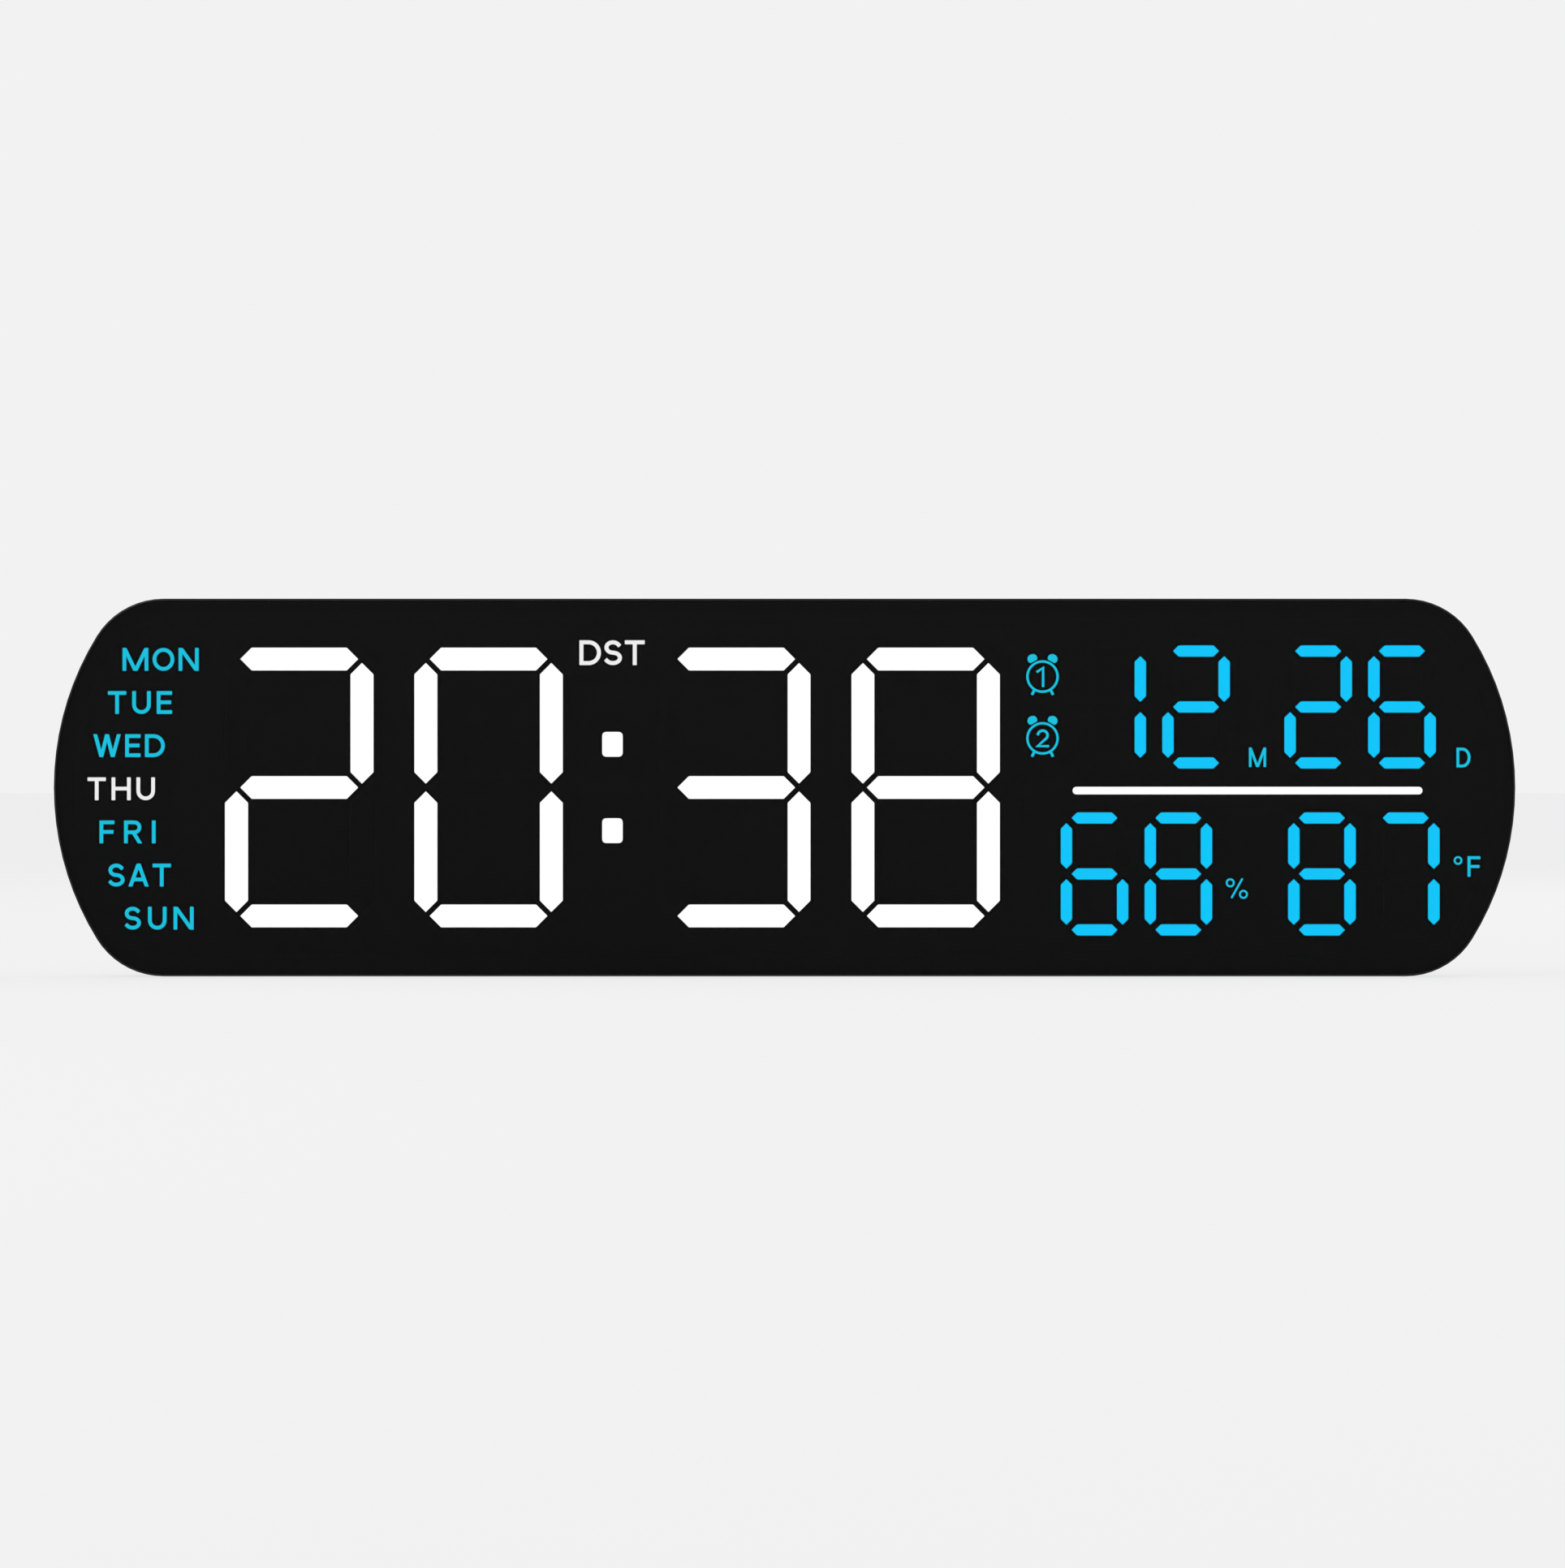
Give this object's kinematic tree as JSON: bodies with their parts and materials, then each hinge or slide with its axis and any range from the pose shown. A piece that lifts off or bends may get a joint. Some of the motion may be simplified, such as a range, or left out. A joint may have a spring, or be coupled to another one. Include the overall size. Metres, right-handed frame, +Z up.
{
  "type": "led day clock",
  "caption": "Flat clock with bowed ends: a smoked front panel over lit segment digits for time, weekday, date, humidity and temperature, with keys and fold-out feet on its back.",
  "frame": {"origin": "middle of the edge the clock stands on, halfway through its depth", "axes": "+X along the clock, to the right as its face is read; +Y out of its back, so the face looks to -Y; +Z up"},
  "size_m": [0.33, 0.027, 0.0853],
  "materials": {
    "smoked_acrylic": "polished smoked acrylic",
    "adhesive_foam": "black foam tape",
    "black_film": "matt black printed film",
    "white_diffuser": "milky diffusing resin, lit white",
    "cyan_diffuser": "milky diffusing resin, lit blue",
    "light_box_plastic": "matt black moulding",
    "housing_plastic": "fine spark-eroded black plastic",
    "circuit_laminate": "green solder mask",
    "white_chip": "phosphor-filled chip",
    "blue_chip": "clear-filled chip",
    "screw_steel": "zinc-plated steel",
    "standoff_brass": "turned brass",
    "component_black": "black moulding compound",
    "plated_metal": "nickel-plated metal",
    "key_rubber": "satin dark grey plastic",
    "stem_plastic": "pale moulded plastic",
    "foot_rubber": "matt soft rubber"
  },
  "bodies": {
    "housing": {"front_lens": "smoked_acrylic", "lens_tape": "adhesive_foam", "mask_film": "black_film", "hour_tens_bars": "white_diffuser", "hour_units_bars": "white_diffuser", "minute_tens_bars": "white_diffuser", "minute_units_bars": "white_diffuser", "colon_dots": "white_diffuser", "divider_bar": "white_diffuser", "indicator_windows": "white_diffuser", "month_tens_bars": "cyan_diffuser", "month_units_bars": "cyan_diffuser", "day_tens_bars": "cyan_diffuser", "day_units_bars": "cyan_diffuser", "humidity_tens_bars": "cyan_diffuser", "humidity_units_bars": "cyan_diffuser", "temperature_tens_bars": "cyan_diffuser", "temperature_units_bars": "cyan_diffuser", "weekday_windows": "cyan_diffuser", "unit_windows": "cyan_diffuser", "light_box": "light_box_plastic", "front_frame": "housing_plastic", "rear_cover": "housing_plastic", "led_board": "circuit_laminate", "power_board": "circuit_laminate", "white_chips": "white_chip", "blue_chips": "blue_chip", "board_screws": "screw_steel", "case_screws": "screw_steel", "foot_pins": "screw_steel", "board_standoffs": "standoff_brass", "board_header": "component_black", "controller_chip": "component_black", "driver_chips": "component_black", "buzzer": "component_black", "climate_sensor": "component_black", "key_switches": "component_black", "cell_holder": "component_black", "power_inlet_tongue": "component_black", "power_inlet_shell": "plated_metal", "clock_crystal": "plated_metal", "capacitors": "plated_metal", "cell_contact": "plated_metal", "coin_cell": "plated_metal"},
    "mode_key": {"mode_key": "key_rubber", "mode_key_stem": "stem_plastic"},
    "alarm_key": {"alarm_key": "key_rubber", "alarm_key_stem": "stem_plastic"},
    "up_key": {"up_key": "key_rubber", "up_key_stem": "stem_plastic"},
    "down_key": {"down_key": "key_rubber", "down_key_stem": "stem_plastic"},
    "brightness_key": {"brightness_key": "key_rubber", "brightness_key_stem": "stem_plastic"},
    "battery_cap": {"battery_cap": "housing_plastic"},
    "left_foot": {"left_foot": "housing_plastic", "left_foot_pad": "foot_rubber"},
    "right_foot": {"right_foot": "housing_plastic", "right_foot_pad": "foot_rubber"}
  },
  "joints": [
    {"name": "mode_key_press", "type": "slide", "parent": "housing", "child": "mode_key", "axis": [0, -1, 0], "range_m": [0, 0.0005], "stiffness_N_per_m": 800},
    {"name": "alarm_key_press", "type": "slide", "parent": "housing", "child": "alarm_key", "axis": [0, -1, 0], "range_m": [0, 0.0005], "stiffness_N_per_m": 800},
    {"name": "up_key_press", "type": "slide", "parent": "housing", "child": "up_key", "axis": [0, -1, 0], "range_m": [0, 0.0005], "stiffness_N_per_m": 800},
    {"name": "down_key_press", "type": "slide", "parent": "housing", "child": "down_key", "axis": [0, -1, 0], "range_m": [0, 0.0005], "stiffness_N_per_m": 800},
    {"name": "brightness_key_press", "type": "slide", "parent": "housing", "child": "brightness_key", "axis": [0, -1, 0], "range_m": [0, 0.0005], "stiffness_N_per_m": 800},
    {"name": "battery_cap_turn", "type": "hinge", "parent": "housing", "child": "battery_cap", "pos_m": [0.034, 0.012, 0.04725], "axis": [0, 1, 0], "range_deg": [0, 45]},
    {"name": "left_foot_swing", "type": "hinge", "parent": "housing", "child": "left_foot", "pos_m": [-0.11, 0.0085, 0.005], "axis": [-1, 0, 0], "range_deg": [0, 90]},
    {"name": "right_foot_swing", "type": "hinge", "parent": "housing", "child": "right_foot", "pos_m": [0.11, 0.0085, 0.005], "axis": [-1, 0, 0], "range_deg": [0, 90]}
  ]
}
